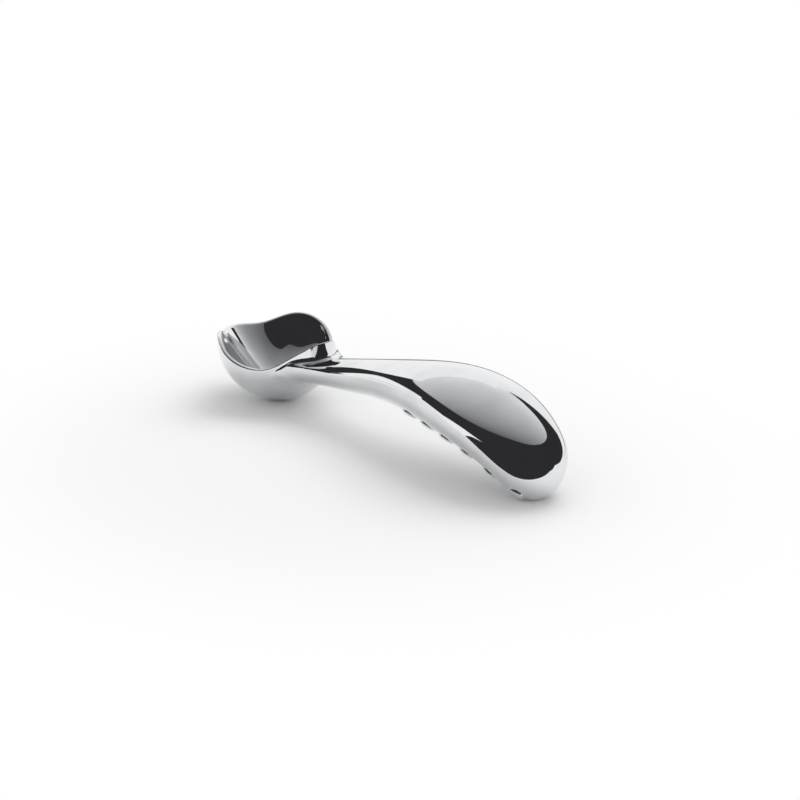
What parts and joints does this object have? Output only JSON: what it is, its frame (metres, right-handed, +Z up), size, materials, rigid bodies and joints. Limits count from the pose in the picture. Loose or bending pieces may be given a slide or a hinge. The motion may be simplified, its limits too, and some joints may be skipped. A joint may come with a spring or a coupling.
{
  "type": "ice cream scoop",
  "caption": "One-piece chromed ice cream scoop: kite-shaped bowl with a waved rim, slim neck and an arched palm handle with raised round grip pads along its underside.",
  "frame": {"origin": "on the surface the scoop lies on, half way between the bowl's lip and the butt", "axes": "+X from the bowl to the butt, +Z up, the scoop alike at +Y and -Y"},
  "size_m": [0.188, 0.0554, 0.0394],
  "materials": {
    "body_chrome": "mirror-polished chrome plate on a zinc casting",
    "plate_chrome": "polished chrome plate",
    "gasket_rubber": "matte moulded elastomer",
    "screw_steel": "bright turned stainless steel",
    "stud_chrome": "polished chrome plate"
  },
  "bodies": {
    "root": {"scoop_body": "body_chrome", "grip_plate": "plate_chrome", "plate_gasket": "gasket_rubber", "plate_screws": "screw_steel", "grip_studs": "stud_chrome"}
  },
  "joints": []
}
